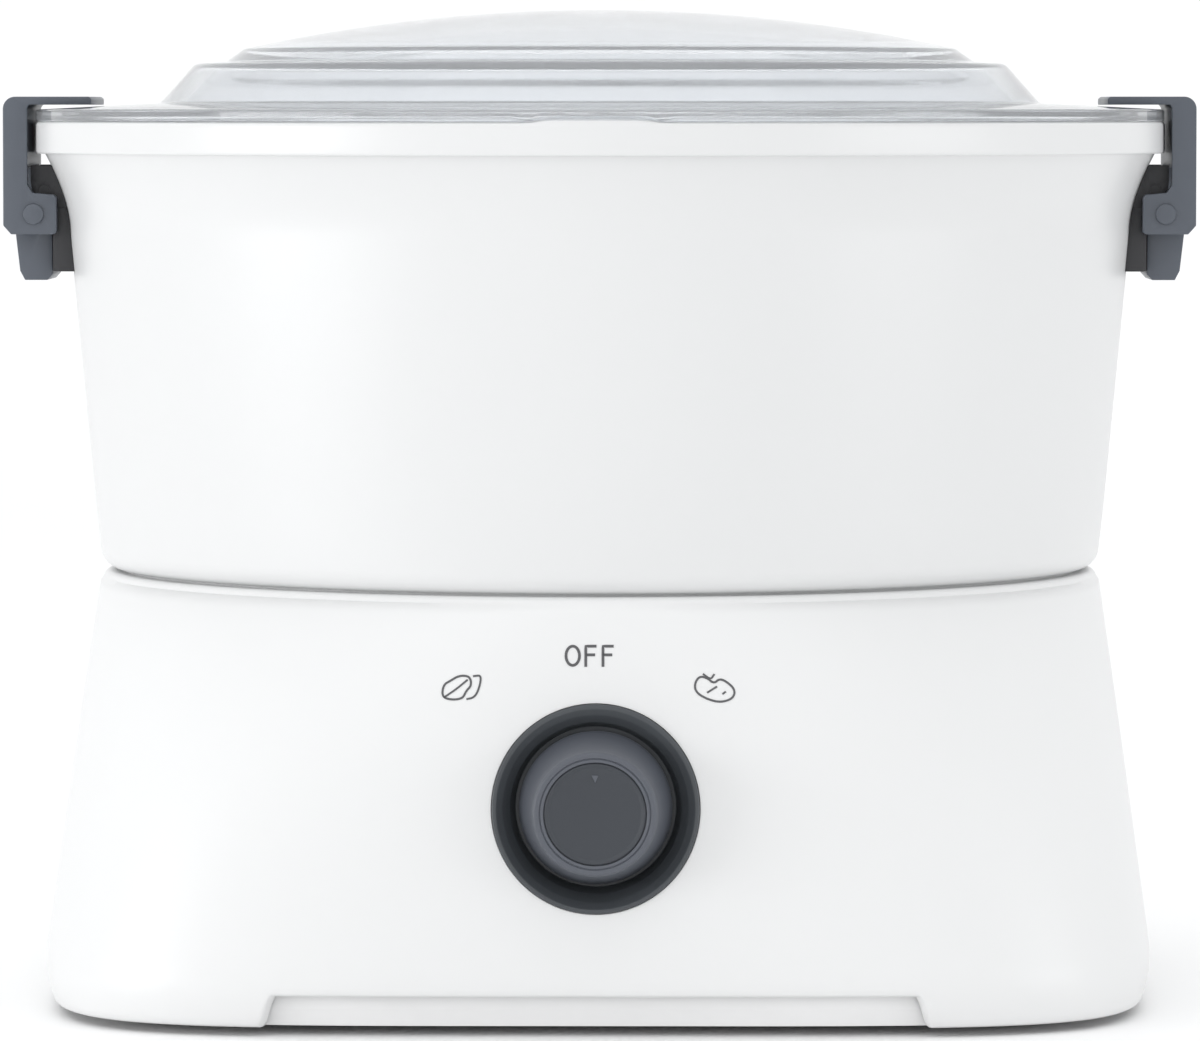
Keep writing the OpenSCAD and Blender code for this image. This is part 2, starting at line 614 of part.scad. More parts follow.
// Raised cutters: a strip along a radius, with a row of slots
module disc_blades() color("silver") for (a = [0, 120, 240]) rotate(a)
    translate([38, -9, disc_z + disc_t]) difference() {
        union() {
            cube([56, 18, 1]);
            translate([0, 9, 0]) rotate([0, 90, 0]) intersection() {
                cylinder(r = 3.4, h = 56, $fn = 64);
                translate([-4, -4, 0]) cube([4, 8, 56]);
            }
        }
        for (x = [4 : 8 : 48]) translate([x, 6.6, 1.2]) cube([4.4, 4.8, 4]);
        translate([-1, 6.4, -3]) cube([60, 5.2, 4.2]);
        for (x = [8, 48]) translate([x, 9, -1]) cylinder(r = screw_r + 0.2, h = 9, $fn = 32);
    }

module blade_screws() color("silver") for (a = [0, 120, 240], x = [46, 86]) rotate(a)
    translate([x, 0, disc_z + disc_t + 3.4]) screw(6);

module hub_cap() color("dimgray") translate([0, 0, hub_top]) difference() {
    union() {
        cylinder(r = hub_r - 2.6, h = 2.5);
        translate([0, 0, 2.5]) cylinder(r1 = hub_r - 2.6, r2 = hub_r - 6, h = 2);
        translate([0, 0, 3]) cylinder(r = 6, h = 7);
        translate([0, 0, 9]) cylinder(r = 9, h = 3);
    }
    translate([0, 0, 11]) cylinder(r = 6, h = 2);
}

// ---- lid ----

function lid_outer() = concat(
    [for (k = [0 : 14]) let (r = dome_r * k / 14)
        [r, shoulder_z + sqrt(dome_rad * dome_rad - r * r) - dome_rad + dome_rise]],
    [[dome_r + 2, shoulder_z - 0.7], [dome_r + 4, shoulder_z - 1.9], [dome_r + 7, shoulder_z - 3.2],
        [dome_r + 11.5, shoulder_z - 3.6], [dome_r + 12.8, shoulder_z - 4.2],
        [dome_r + 20, rim_z + 5.3], [dome_r + 22, rim_z + 4], [rim_r - 0.7, flange_z],
        [rim_r - 0.1, flange_z - 0.6], [rim_r - 0.1, rim_z]]
);

// The lid's underside, from the rim inwards; two rings of skirt reach down into the tub
function lid_inner() = let (ring = tub_r(rim_z - rim_h) - 8.4) concat(
    [[ring, rim_z], [ring - 0.5, rim_z - 5], [ring - 2.4, rim_z - 5], [ring - 2.6, rim_z + 1.2],
        [dome_r + 20.5, rim_z + 1.7], [dome_r + 17.6, rim_z + 3.4], [dome_r + 10.4, shoulder_z - 6.2],
        [dome_r + 6, shoulder_z - 5.6], [dome_r + 2.8, shoulder_z - 4.4], [dome_r + 0.8, shoulder_z - 3.2]],
    [for (k = [14 : -1 : 0]) let (r = (dome_r - 0.6) * k / 14)
        [r, shoulder_z + sqrt(dome_rad * dome_rad - r * r) - dome_rad + dome_rise - lid_wall]]
);

module lid() color("lightblue", 0.4) difference() {
    rotate_extrude($fn = 144) polygon(concat(lid_outer(), lid_inner()));
    translate([-12.6, -rim_r - 2, rim_z - 1]) cube([25.2, 9, 2.1]);
}

module lid_gasket() color("gray") let (ring = tub_r(rim_z - rim_h) - 8.4)
    translate([0, 0, rim_z - 3.6]) tube(ring + 0.7, ring - 0.15, 1.6);

// ---- latches, drawn on the right and mirrored for the left ----

module rod_at(x, z, r, half) { translate([x, -half, z]) rod_y(r, 0, 2 * half, $fn = 48); }

module bracket() color("dimgray") difference() {
    union() {
        // a block that follows the wall, behind the finger block
        translate([tub_foot_r, 0.4 - ear_half, bracket_z])
            cube([strap_in - 5.5 - tub_foot_r, 2 * ear_half - 0.8, 14.4]);
        // cheeks that fill the space between the wall and the strap
        for (s = [-1, 1]) translate([0, s * (lever_half + 1.85) + 1.45, 0]) rotate([90, 0, 0])
            linear_extrude(2.9) polygon(concat(
                [[lever_pin_x - 7, bracket_z + 13], [lever_pin_x - 2, bracket_z + 13]],
                [for (a = [-95 : 15 : -5]) [lever_pin_x, lever_pin_z] + 2.8 * [cos(a), sin(a)]],
                [[strap_in - 0.4, lever_pin_z + 2.2], [strap_in - 0.4, bracket_z + bracket_h],
                    [lever_pin_x - 7, bracket_z + bracket_h]]));
    }
    rod_at(lever_pin_x, lever_pin_z, 3.4, lever_half + 0.4);
    rod_at(hook_pin_x, hook_pin_z, hook_pin_r + 2.9, lever_half + 0.4);
    rod_at(lever_pin_x, lever_pin_z, lever_pin_r + 0.01, cheek_half + 1);
    tub_skin(0.02);
}

module lever_pin() color("silver") rod_at(lever_pin_x, lever_pin_z, lever_pin_r, cheek_half - 0.2);

module lever() color("slategray") difference() {
    translate([0, lever_half, 0]) rotate([90, 0, 0]) linear_extrude(2 * lever_half) union() {
        translate([lever_pin_x, lever_pin_z]) circle(r = 2.3, $fn = 48);
        translate([hook_pin_x, hook_pin_z]) circle(r = 2.7, $fn = 48);
        // the arm between the two pins, then the finger block
        polygon([[lever_pin_x - 2.1, lever_pin_z - 0.9], [hook_pin_x - 2.5, hook_pin_z - 0.8],
            [strap_in - 5.1, hook_pin_z - 5], [strap_in - 5.1, hook_pin_z - 13.8],
            [strap_in - 3.9, hook_pin_z - 15.1], [strap_in + 1.2, hook_pin_z - 15.1],
            [strap_in + 2.3, hook_pin_z - 13], [strap_in + 3.3, hook_pin_z - 4.4],
            [hook_pin_x + 2.5, hook_pin_z - 0.6], [lever_pin_x + 2.1, lever_pin_z + 0.9]]);
    }
    rod_at(lever_pin_x, lever_pin_z, lever_pin_r + fit, lever_half + 1);
    rod_at(hook_pin_x, hook_pin_z, hook_pin_r + 0.01, lever_half + 1);
}

module hook_pin() color("dimgray") union() {
    rod_at(hook_pin_x, hook_pin_z, hook_pin_r, latch_w / 2 + 0.1);
    for (s = [-1, 1]) translate([hook_pin_x, s * (latch_w / 2 + 0.35) - 0.3, hook_pin_z])
        rod_y(2.3, 0, 0.6, $fn = 48);
}

module hook() color("slategray") difference() {
    translate([0, latch_w / 2, 0]) rotate([90, 0, 0]) linear_extrude(latch_w) polygon(concat(
        [[strap_out - 1.8, hook_pin_z - 4.6], [strap_out, hook_pin_z - 2.6]],
        [for (a = [0 : 10 : 90]) [strap_out - 2.8 + 2.8 * cos(a), arm_z + arm_t - 2.8 + 2.8 * sin(a)]],
        [[strap_in - hook_reach, arm_z + arm_t], [strap_in - hook_reach - 0.6, arm_z + arm_t - 0.5],
            [strap_in - hook_reach - 0.6, arm_z], [strap_in - 0.5, arm_z], [strap_in, arm_z - 0.8],
            [strap_in, hook_pin_z + 6.6], [strap_in - 1.2, hook_pin_z + 4.8],
            [strap_in - 6, hook_pin_z + 4.4], [strap_in - 6.6, hook_pin_z + 3.6], [strap_in - 6.6, hook_pin_z - 4],
            [strap_in - 6, hook_pin_z - 4.6]]));
    translate([strap_in - 12, -ear_half, hook_pin_z - 6]) cube([30, 2 * ear_half, notch_z - hook_pin_z + 6]);
    rod_at(hook_pin_x, hook_pin_z, hook_pin_r + fit, latch_w);
}

module left() { mirror([1, 0, 0]) children(); }

module left_bracket() left() bracket();
module left_lever_pin() left() lever_pin();
module left_lever() left() lever();
module left_hook_pin() left() hook_pin();
module left_hook() left() hook();
module right_bracket() bracket();
module right_lever_pin() lever_pin();
module right_lever() lever();
module right_hook_pin() hook_pin();
module right_hook() hook();

base_housing();
bottom_cover();
rubber_feet();
cover_screws();
dial_marks();
knob_bezel();
knob();
knob_cap();
switch_spindle();
rotary_switch();
switch_nut();
rectifier_board();
board_components();
cord_gland();
cord_clamp();
clamp_screws();
gear_plate();
gear_plate_screws();
upper_bush();
lower_bush();
drive_shaft();
output_gear();
idler_axle();
idler_gear();
motor_can();
motor_end_cap();
motor_bushes();
motor_brushes();
motor_screws();
motor_rotor();
motor_pinion();
tub();
shaft_seal();
wall_blades();
peeling_disc();
disc_blades();
blade_screws();
hub_cap();
lid();
lid_gasket();
left_bracket();
left_lever_pin();
left_lever();
left_hook_pin();
left_hook();
right_bracket();
right_lever_pin();
right_lever();
right_hook_pin();
right_hook();
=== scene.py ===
import json
import math

import bmesh
import bpy
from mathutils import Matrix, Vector


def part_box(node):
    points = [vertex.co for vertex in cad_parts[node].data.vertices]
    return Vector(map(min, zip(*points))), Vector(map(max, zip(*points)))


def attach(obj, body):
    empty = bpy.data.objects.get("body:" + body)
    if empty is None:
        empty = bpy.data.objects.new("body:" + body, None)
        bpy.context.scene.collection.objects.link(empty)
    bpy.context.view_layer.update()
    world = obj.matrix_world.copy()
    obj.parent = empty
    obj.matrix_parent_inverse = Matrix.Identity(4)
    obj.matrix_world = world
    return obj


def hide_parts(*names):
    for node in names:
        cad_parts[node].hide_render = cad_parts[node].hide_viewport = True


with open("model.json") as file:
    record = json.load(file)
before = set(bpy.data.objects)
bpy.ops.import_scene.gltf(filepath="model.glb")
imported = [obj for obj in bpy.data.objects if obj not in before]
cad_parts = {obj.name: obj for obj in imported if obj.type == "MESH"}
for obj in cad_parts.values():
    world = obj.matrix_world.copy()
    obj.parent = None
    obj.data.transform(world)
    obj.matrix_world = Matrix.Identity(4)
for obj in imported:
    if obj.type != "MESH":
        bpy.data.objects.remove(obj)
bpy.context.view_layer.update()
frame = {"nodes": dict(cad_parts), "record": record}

MM = 0.001
nodes = frame["nodes"]
slot_of = {s["node"]: s["material_slot"] for s in frame["record"]["subparts"]}
body_of = {n: b for b, members in frame["record"]["behaviour"]["bodies"].items() for n in members}


def size_mm(node):
    """Lowest and highest corner of a CAD node, in millimetres."""
    low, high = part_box(node)
    return low / MM, high / MM


# ---- driving sizes, in millimetres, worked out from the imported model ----
base_low = size_mm("base_housing")[0]
tub_low, tub_high = size_mm("tub")
lid_high = size_mm("lid")[1]
bezel_low, bezel_high = size_mm("knob_bezel")
knob_low, knob_high = size_mm("knob")
cap_low, cap_high = size_mm("knob_cap")
gland_low, gland_high = size_mm("cord_gland")

WALL = 2.5
SEAM_Z = tub_low.z                      # base and tub meet here
SKIRT_Z = base_low.z
WAIST_R = 114.0
LEAN = 0.118                            # outward flare of the sides per mm downwards
TUCK_H = 12.5                           # height over which the foot draws in
TUCK = 3.4
FOOT_POWER = 5.0
CUTOUT_HALF = 72.0
CUTOUT_H = 7.0
DECK_Z = SEAM_Z - 6.4
LEDGE_R = WAIST_R - 8
KNOB_Z = (knob_low.z + knob_high.z) / 2
KNOB_R = (knob_high.x - knob_low.x) / 2
KNOB_FRONT = -knob_low.y
BEZEL_R = (bezel_high.x - bezel_low.x) / 2
CAP_R = (cap_high.x - cap_low.x) / 2
FACE_Y = -(WAIST_R + LEAN * (SEAM_Z - KNOB_Z))
RIM_R = tub_high.x
RIM_Z = tub_low.z + 102.1
RIM_H = 7.2
FLARE_Z = RIM_Z - RIM_H - 18
TUB_LEAN = 0.094
TUB_FOOT_R = WAIST_R - 0.9
TUB_FLOOR_Z = SEAM_Z + 3
CHIMNEY_R = 9.0
CHIMNEY_TOP = SEAM_Z + 23.6
LID_TOP = lid_high.z
SHOULDER_Z = RIM_Z + 16.9
FLANGE_Z = RIM_Z + 2.8
DOME_R = 80.0
DOME_RISE = LID_TOP - SHOULDER_Z
DOME_RAD = (DOME_R ** 2 + DOME_RISE ** 2) / (2 * DOME_RISE)
LID_WALL = 2.4
MARKS_X = -1.6
GLAND_X = (gland_low.x + gland_high.x) / 2
GLAND_Z = (gland_low.z + gland_high.z) / 2
GLAND_HOLE_R = 6.6
LID_GAP = 0.03                          # the lid's flange lies this far over the tub's rim
PAD_HALF = 14.5                         # half width of the raised pad in the middle of the rim
PAD_RAMP = 5.0                          # width of the slope at each end of the pad
NOTCH = 1.05                            # height of the lid's recess over the pad


# ---- materials ----

def new_material(name):
    material = bpy.data.materials.new(name)
    material.use_nodes = True
    tree = material.node_tree
    return material, tree, tree.nodes["Principled BSDF"]


def noise(tree, scale, detail=3.0, stretch=None, rough=0.5):
    """Noise in the object's own coordinates, scale in features per metre."""
    coords = tree.nodes.new("ShaderNodeTexCoord")
    mapping = tree.nodes.new("ShaderNodeMapping")
    mapping.inputs["Scale"].default_value = stretch or (1.0, 1.0, 1.0)
    texture = tree.nodes.new("ShaderNodeTexNoise")
    texture.inputs["Scale"].default_value = scale
    texture.inputs["Detail"].default_value = detail
    texture.inputs["Roughness"].default_value = rough
    tree.links.new(coords.outputs["Object"], mapping.inputs["Vector"])
    tree.links.new(mapping.outputs["Vector"], texture.inputs["Vector"])
    return texture.outputs["Fac"]


def ramp(tree, value, low, high, start=0.35, end=0.65):
    """Turns a noise value into a colour between low and high."""
    node = tree.nodes.new("ShaderNodeValToRGB")
    node.color_ramp.elements[0].position = start
    node.color_ramp.elements[1].position = end
    node.color_ramp.elements[0].color = (*low, 1)
    node.color_ramp.elements[1].color = (*high, 1)
    tree.links.new(value, node.inputs["Fac"])
    return node.outputs["Color"]


def spread(tree, value, low, high):
    """Turns a noise value into a number between low and high."""
    node = tree.nodes.new("ShaderNodeMapRange")
    node.inputs["From Min"].default_value = 0.2
    node.inputs["From Max"].default_value = 0.8
    node.inputs["To Min"].default_value = low
    node.inputs["To Max"].default_value = high
    tree.links.new(value, node.inputs["Value"])
    return node.outputs["Result"]


def bump(tree, shader, value, strength, distance):
    node = tree.nodes.new("ShaderNodeBump")
    node.inputs["Strength"].default_value = strength
    node.inputs["Distance"].default_value = distance
    tree.links.new(value, node.inputs["Height"])
    tree.links.new(node.outputs["Normal"], shader.inputs["Normal"])


def tint(color, factor):
    return tuple(min(1.0, c * factor) for c in color)


def plastic(name, color, rough=(0.3, 0.42), grain=2600.0, depth=0.00002, strength=0.25, drift=0.03,
            coat=0.0):
    """Moulded plastic: a slow drift of colour and gloss, and the fine grain of the mould."""
    material, tree, shader = new_material(name)
    slow = noise(tree, 22.0, 4.0)
    tree.links.new(ramp(tree, slow, tint(color, 1 - drift), tint(color, 1 + drift / 2), 0.2, 0.8),
                   shader.inputs["Base Color"])
    tree.links.new(spread(tree, noise(tree, 30.0, 2.0), *rough), shader.inputs["Roughness"])
    bump(tree, shader, noise(tree, grain, 2.0), strength, depth)
    shader.inputs["Coat Weight"].default_value = coat
    shader.inputs["Coat Roughness"].default_value = 0.12
    return material


def metal(name, color, rough=(0.22, 0.4), stretch=(1.0, 1.0, 30.0), grain=700.0):
    """Metal with fine lines left by rolling or grinding, and cloudy gloss."""
    material, tree, shader = new_material(name)
    shader.inputs["Metallic"].default_value = 1.0
    lines = noise(tree, grain, 4.0, stretch)
    tree.links.new(ramp(tree, lines, tint(color, 0.86), tint(color, 1.06)),
                   shader.inputs["Base Color"])
    tree.links.new(spread(tree, noise(tree, 90.0, 4.0), *rough), shader.inputs["Roughness"])
    bump(tree, shader, lines, 0.3, 0.00003)
    return material


def clear_plastic(name, color, rough):
    """Clear polycarbonate, with the faint ripple of a moulding."""
    material, tree, shader = new_material(name)
    tree.links.new(ramp(tree, noise(tree, 12.0, 2.0), tint(color, 0.985), color),
                   shader.inputs["Base Color"])
    tree.links.new(spread(tree, noise(tree, 150.0, 4.0), rough * 0.7, rough * 1.6),
                   shader.inputs["Roughness"])
    shader.inputs["Transmission Weight"].default_value = 0.85
    shader.inputs["IOR"].default_value = 1.25
    bump(tree, shader, noise(tree, 18.0, 1.0), 0.03, 0.0002)
    return material


def board_material(name):
    """Green circuit board: solder mask over darker copper tracks."""
    material, tree, shader = new_material(name)
    coords = tree.nodes.new("ShaderNodeTexCoord")
    tracks = tree.nodes.new("ShaderNodeTexBrick")
    tracks.inputs["Scale"].default_value = 160.0
    tracks.inputs["Mortar Size"].default_value = 0.03
    tracks.inputs["Color1"].default_value = (0.02, 0.13, 0.05, 1)
    tracks.inputs["Color2"].default_value = (0.025, 0.17, 0.06, 1)
    tracks.inputs["Mortar"].default_value = (0.05, 0.28, 0.1, 1)
    tree.links.new(coords.outputs["Object"], tracks.inputs["Vector"])
    tree.links.new(tracks.outputs["Color"], shader.inputs["Base Color"])
    tree.links.new(spread(tree, noise(tree, 500.0), 0.25, 0.45), shader.inputs["Roughness"])
    return material


WHITE = (0.74, 0.743, 0.743)
materials = {
    "white_plastic": plastic("satin_white_plastic", WHITE, (0.32, 0.38), 900.0, 0.00001, 0.05, 0.008),
    "tub_plastic": plastic("tub_white_plastic", (0.695, 0.699, 0.7), (0.3, 0.35), 900.0,
                           0.00001, 0.04, 0.008),
    "cover_plastic": plastic("white_cover_plastic", (0.79, 0.79, 0.79), (0.5, 0.65), 1800.0,
                             strength=0.5, drift=0.05),
    "black_rubber": plastic("black_rubber", (0.03, 0.03, 0.033), (0.7, 0.88), 900.0, 0.00008, 0.6, 0.2),
    "clear_gasket": plastic("silicone_gasket", (0.62, 0.66, 0.7), (0.35, 0.5), 700.0, drift=0.05),
    "screw_steel": metal("zinc_screw_steel", (0.6, 0.61, 0.63)),
    "print_ink": plastic("printed_ink", (0.095, 0.095, 0.1), (0.5, 0.7), 1500.0, drift=0.2),
    "bezel_plastic": plastic("bezel_plastic", (0.055, 0.061, 0.068), (0.38, 0.48), 2200.0, drift=0.08),
    "knob_plastic": plastic("knob_plastic", (0.085, 0.093, 0.112), (0.42, 0.5), 2200.0, drift=0.06),
    "cap_plastic": plastic("cap_plastic", (0.034, 0.039, 0.048), (0.4, 0.52), 1700.0, strength=0.4,
                           drift=0.08),
    "shaft_steel": metal("ground_steel", (0.62, 0.62, 0.64), (0.16, 0.3)),
    "switch_body": plastic("natural_nylon", (0.7, 0.66, 0.55), (0.4, 0.55), drift=0.06),
    "circuit_board": board_material("green_board"),
    # Near-black plastic. On the latch brackets this is partly their own dark colour and partly painted
    # shade: it is darker than the latch's slate so that the brackets read as the shade between latch and
    # tub.
    "black_plastic": plastic("black_plastic", (0.025, 0.025, 0.028), (0.42, 0.56), 1500.0,
                             strength=0.45, drift=0.15),
    "plate_steel": metal("zinc_plated_sheet", (0.56, 0.57, 0.6), (0.3, 0.5), (1, 25, 1)),
    "bronze": metal("sintered_bronze", (0.62, 0.4, 0.2), (0.35, 0.5), (1, 1, 1), 2500.0),
    "gear_nylon": plastic("natural_acetal", (0.8, 0.79, 0.73), (0.35, 0.48), drift=0.04),
    "armature": metal("varnished_armature", (0.33, 0.17, 0.09), (0.35, 0.55), (1, 1, 60), 500.0),
    "blade_steel": metal("stamped_stainless", (0.68, 0.68, 0.69), (0.18, 0.32), (25, 1, 1)),
    "disc_plastic": plastic("disc_white_plastic", (0.84, 0.845, 0.84), (0.28, 0.4), drift=0.02),
    "clear_plastic": clear_plastic("clear_polycarbonate", (0.955, 0.973, 0.995), 0.04),
    "latch_plastic": plastic("latch_slate_plastic", (0.088, 0.1, 0.122), (0.3, 0.42), 2200.0,
                             drift=0.06),
}
for node, obj in nodes.items():
    obj.data.materials.clear()
    obj.data.materials.append(materials[slot_of[node]])


# ---- mesh helpers ----

def add_piece(name, bm, body, slot, replaced=(), sharp=32.0):
    """Makes a smooth-shaded piece from a bmesh in millimetres, and says what it rides on."""
    bmesh.ops.recalc_face_normals(bm, faces=bm.faces)
    mesh = bpy.data.meshes.new(name)
    for v in bm.verts:
        v.co *= MM
    bm.to_mesh(mesh)
    bm.free()
    for p in mesh.polygons:
        p.use_smooth = True
    mesh.set_sharp_from_angle(angle=math.radians(sharp))
    obj = bpy.data.objects.new(name, mesh)
    bpy.context.scene.collection.objects.link(obj)
    mesh.materials.append(materials[slot])
    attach(obj, body)
    if replaced:
        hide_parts(*replaced)


def fillet(points, steps=5):
    """Rounds an outline's corners: each point is (r, z) or (r, z, radius)."""
    out = []
    n = len(points)
    for i, p in enumerate(points):
        radius = p[2] if len(p) > 2 else 0.0
        here = Vector(p[:2])
        if radius <= 0:
            out.append(tuple(here))
            continue
        before = Vector(points[(i - 1) % n][:2]) - here
        after = Vector(points[(i + 1) % n][:2]) - here
        angle = before.angle(after)
        reach = min(radius / math.tan(angle / 2), before.length * 0.49, after.length * 0.49)
        a = here + before.normalized() * reach
        b = here + after.normalized() * reach
        for k in range(steps + 1):
            t = k / steps
            out.append(tuple(a.lerp(here, t).lerp(here.lerp(b, t), t)))
    return out


def revolve(outline, place, segments=256, closed=True):
    """Turns an outline of (r, height) about an axis. place(r, height, angle) gives each point."""
    bm = bmesh.new()
    rings = []
    for r, h in outline:
        if abs(r) < 1e-6:
            rings.append([bm.verts.new(place(0.0, h, 0.0))])
        else:
            rings.append([bm.verts.new(place(r, h, 2 * math.pi * i / segments))
                          for i in range(segments)])
    pairs = list(zip(rings, rings[1:])) + ([(rings[-1], rings[0])] if closed else [])
    for a, b in pairs:
        if len(a) == 1 and len(b) == 1:
            continue
        for i in range(segments):
            j = (i + 1) % segments
            corners = [a[i % len(a)], a[j % len(a)], b[j % len(b)], b[i % len(b)]]
            corners = [c for k, c in enumerate(corners) if c not in corners[:k]]
            if len(corners) > 2:
                bm.faces.new(corners)
    return bm


def about_z(r, h, a):
    return Vector((r * math.cos(a), r * math.sin(a), h))


def about_knob(r, h, a):
    """Around the knob's axis; the height is measured along +Y."""
    return Vector((r * math.cos(a), h, KNOB_Z + r * math.sin(a)))


def smooth_step(t):
    t = max(0.0, min(1.0, t))
    return t * t * (3 - 2 * t)


def dressed(node, bevel, steps=2):
    """A copy of a CAD node with welded, rounded edges, which stands for the node."""
    bm = bmesh.new()
    bm.from_mesh(nodes[node].data)
    for v in bm.verts:
        v.co /= MM
    bmesh.ops.remove_doubles(bm, verts=bm.verts, dist=0.004)
    bmesh.ops.dissolve_limit(bm, angle_limit=math.radians(0.6), verts=bm.verts, edges=bm.edges)
    if bevel > 0:
        limit = math.radians(28)
        edges = [e for e in bm.edges if len(e.link_faces) == 2 and e.calc_face_angle(0) > limit]
        bmesh.ops.bevel(bm, geom=edges, offset=bevel, segments=steps, profile=0.5,
                        affect="EDGES", clamp_overlap=True)
    add_piece(node + "_finish", bm, body_of[node], slot_of[node], (node,), 30.0)


# ---- the motor base: one lofted shell, round at the waist and nearly square at the foot ----

def half_at(z):
    """Half width of the shell at a height, with the foot drawn in."""
    low = max(0.0, (SKIRT_Z + TUCK_H - z) / TUCK_H)
    return WAIST_R + LEAN * (SEAM_Z - z) - TUCK * low ** 2


def power_at(z):
    """How square the outline is at a height: 2 is round, and more is squarer."""
    return 2 + (FOOT_POWER - 2) * (max(0.0, SEAM_Z - z) / (SEAM_Z - SKIRT_Z)) ** 0.8


def shell_point(angle, z, inset):
    """A point of the shell, moved inwards by inset."""
    power = power_at(z)
    c, s = math.cos(angle), math.sin(angle)
    r = (half_at(z) - inset) / (abs(c) ** power + abs(s) ** power) ** (1 / power)
    return Vector((r * c, r * s, z))


def front_y(x, z):
    """The shell's front surface over a point of the front view."""
    power, half = power_at(z), half_at(z)
    return -half * (1 - (abs(x) / half) ** power) ** (1 / power)


def skirt_edge(angle):
    """Height of the skirt's lower edge: it rises over the front cut-out, with slanted round ends."""
    p = shell_point(angle, SKIRT_Z + 3, 0)
    if p.y > 0:
        return SKIRT_Z
    ramp_w = 4.5
    return SKIRT_Z + CUTOUT_H * smooth_step((CUTOUT_HALF + 1.5 - abs(p.x)) / ramp_w)


def shell_angles():
    """Columns: even all round, closer on the front around the knob and at the cut-out's ends."""
    angles = {round(2 * math.pi * i / 300, 6) for i in range(300)}
    depth = half_at(KNOB_Z)
    for x in range(-30, 31):
        angles.add(round(1.5 * math.pi + math.atan2(x * 1.1, depth), 6))
    for side in (-1, 1):
        for k in range(-12, 13):
            x = side * (CUTOUT_HALF - 0.75 + 0.4 * k)
            angles.add(round(1.5 * math.pi + math.atan2(x, half_at(SKIRT_Z + 3)), 6))
    angles = sorted(a % (2 * math.pi) for a in angles)
    return [a for k, a in enumerate(angles) if k == 0 or a - angles[k - 1] > 0.0012]


def cut_round_hole(bm, x0, z0, radius, sign):
    """Cuts a hole along Y through both skins of the wall on the side given by sign."""
    inside = [v for v in bm.verts if v.co.y * sign > 60
              and math.hypot(v.co.x - x0, v.co.z - z0) < radius - 0.2]
    bmesh.ops.delete(bm, geom=inside, context="VERTS")
    edges = [e for e in bm.edges if e.is_boundary]
    for v in {v for e in edges for v in e.verts}:
        dx, dz = v.co.x - x0, v.co.z - z0
        r = math.hypot(dx, dz)
        inset = 0.0 if abs(v.co.y) > abs(front_y(v.co.x, v.co.z)) - WALL / 2 else WALL
        v.co.x, v.co.z = x0 + dx / r * radius, z0 + dz / r * radius
        v.co.y = -sign * front_y(v.co.x, v.co.z) - sign * inset * 1.01
    bmesh.ops.bridge_loops(bm, edges=edges)


def build_base():
    """Columns of points from the hub over the ledge and down both skins, joined side by side."""
    rows = 66
    bm = bmesh.new()
    top = [(LEDGE_R - 1, DECK_Z + WALL), (LEDGE_R - 0.2, DECK_Z + WALL + 0.3),
           (LEDGE_R, SEAM_Z - 0.8), (LEDGE_R + 0.5, SEAM_Z - 0.1), (LEDGE_R + 1.2, SEAM_Z)]
    edge = [(WAIST_R - 2.2 + 2.0 * math.sin(t), SEAM_Z - 2.0 + 2.0 * math.cos(t))
            for t in [math.radians(a) for a in range(0, 90, 15)]]
    hub = [(7.6, DECK_Z), (7.6, DECK_Z + WALL + 5), (8.0, DECK_Z + WALL + 5.4),
           (8.4, DECK_Z + WALL + 5), (8.4, DECK_Z + WALL + 0.6), (9.2, DECK_Z + WALL)]
    columns = []
    for angle in shell_angles():
        bottom = skirt_edge(angle)
        points = [about_z(r, z, angle) for r, z in hub + top + edge]
        start = SEAM_Z - 2.4
        for k in range(rows):
            z = start + (bottom + 0.7 - start) * k / (rows - 1)
            points.append(shell_point(angle, z, 0.0))
        for t in (30, 60, 90, 120, 150):
            a = math.radians(t)
            points.append(shell_point(angle, bottom + 0.7 - 0.7 * math.sin(a),
                                      WALL / 2 * (1 - math.cos(a))))
        for k in range(rows):
            z = bottom + 0.7 + (DECK_Z - bottom - 0.7) * k / (rows - 1)
            points.append(shell_point(angle, z, WALL))
        columns.append([bm.verts.new(p) for p in points])
    n = len(columns[0])
    for a, b in zip(columns, columns[1:] + columns[:1]):
        for k in range(n):
            bm.faces.new((a[k], b[k], b[(k + 1) % n], a[(k + 1) % n]))
    cut_round_hole(bm, 0.0, KNOB_Z, BEZEL_R + 0.15, -1)
    cut_round_hole(bm, GLAND_X, GLAND_Z, GLAND_HOLE_R, 1)
    add_piece("base_shell", bm, "base", "white_plastic", ("base_housing",), 40.0)


def build_gland_boss():
    """The flat-faced boss on the back wall that the cord gland seats on."""
    face = gland_high.y - 2.6
    outline = fillet([(GLAND_HOLE_R, face - 6), (9.75, face - 6), (9.75, face, 0.6),
                      (GLAND_HOLE_R, face, 0.2)], 4)
    bm = revolve(outline, lambda r, h, a: Vector(
        (GLAND_X + r * math.cos(a), h, GLAND_Z + r * math.sin(a))), 96)
    add_piece("gland_boss", bm, "base", "white_plastic")


def build_lugs():
    """Three lugs on the ledge that stop the tub from turning."""
    bm = bmesh.new()
    for turn in (90, 210, 330):
        made = bmesh.ops.create_cube(bm, size=1.0)["verts"]
        a = math.radians(turn)
        for v in made:
            r, side = LEDGE_R + 0.9 + v.co.x * 2.2, v.co.y * 8
            v.co = Vector((r * math.cos(a) - side * math.sin(a), r * math.sin(a) + side * math.cos(a),
                           SEAM_Z + 0.9 + v.co.z * 3))
    bmesh.ops.bevel(bm, geom=bm.edges[:], offset=0.5, segments=3, profile=0.5, affect="EDGES")
    add_piece("tub_lugs", bm, "base", "white_plastic")


# ---- tub ----

